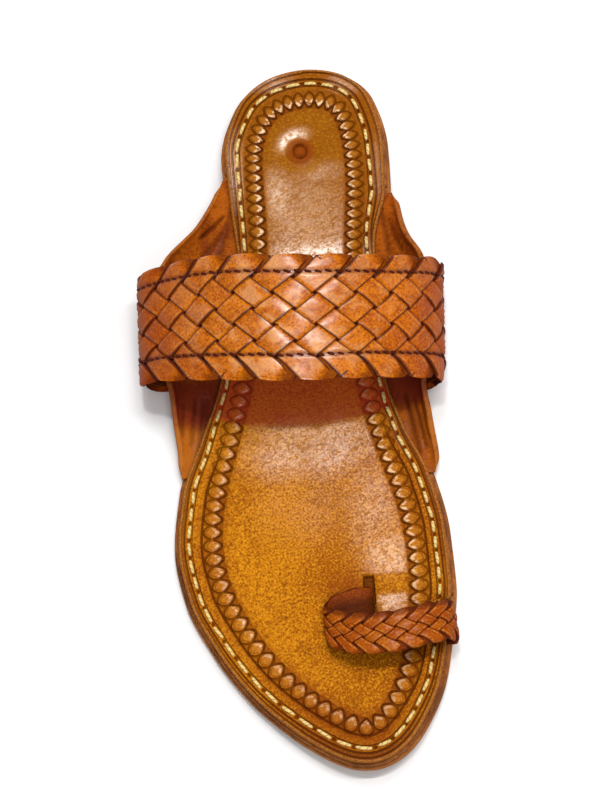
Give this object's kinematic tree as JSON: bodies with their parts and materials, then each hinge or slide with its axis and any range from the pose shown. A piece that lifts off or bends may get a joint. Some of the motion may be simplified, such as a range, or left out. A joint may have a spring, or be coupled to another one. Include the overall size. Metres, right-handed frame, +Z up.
{
  "type": "kolhapuri sandal",
  "caption": "Flat leather toe-loop sandal for the right foot, with a layered stitched sole, ear flaps, a wide braided instep band and a braided loop for the big toe.",
  "frame": {"origin": "centre of the shoe's bounding box on the floor", "axes": "+Z up, +Y from the toe to the heel, +X to the big-toe (medial) side"},
  "size_m": [0.1252, 0.289, 0.07],
  "materials": {
    "sole_leather": "burnished edge, matt",
    "footbed_leather": "polished",
    "flap_leather": "satin",
    "braid_leather": "polished"
  },
  "bodies": {
    "root": {"outsole": "sole_leather", "heel": "sole_leather", "midsole": "sole_leather", "insole": "footbed_leather", "ear_flap_lateral": "flap_leather", "ear_flap_medial": "flap_leather", "instep_band": "braid_leather", "toe_loop": "braid_leather"}
  },
  "joints": []
}
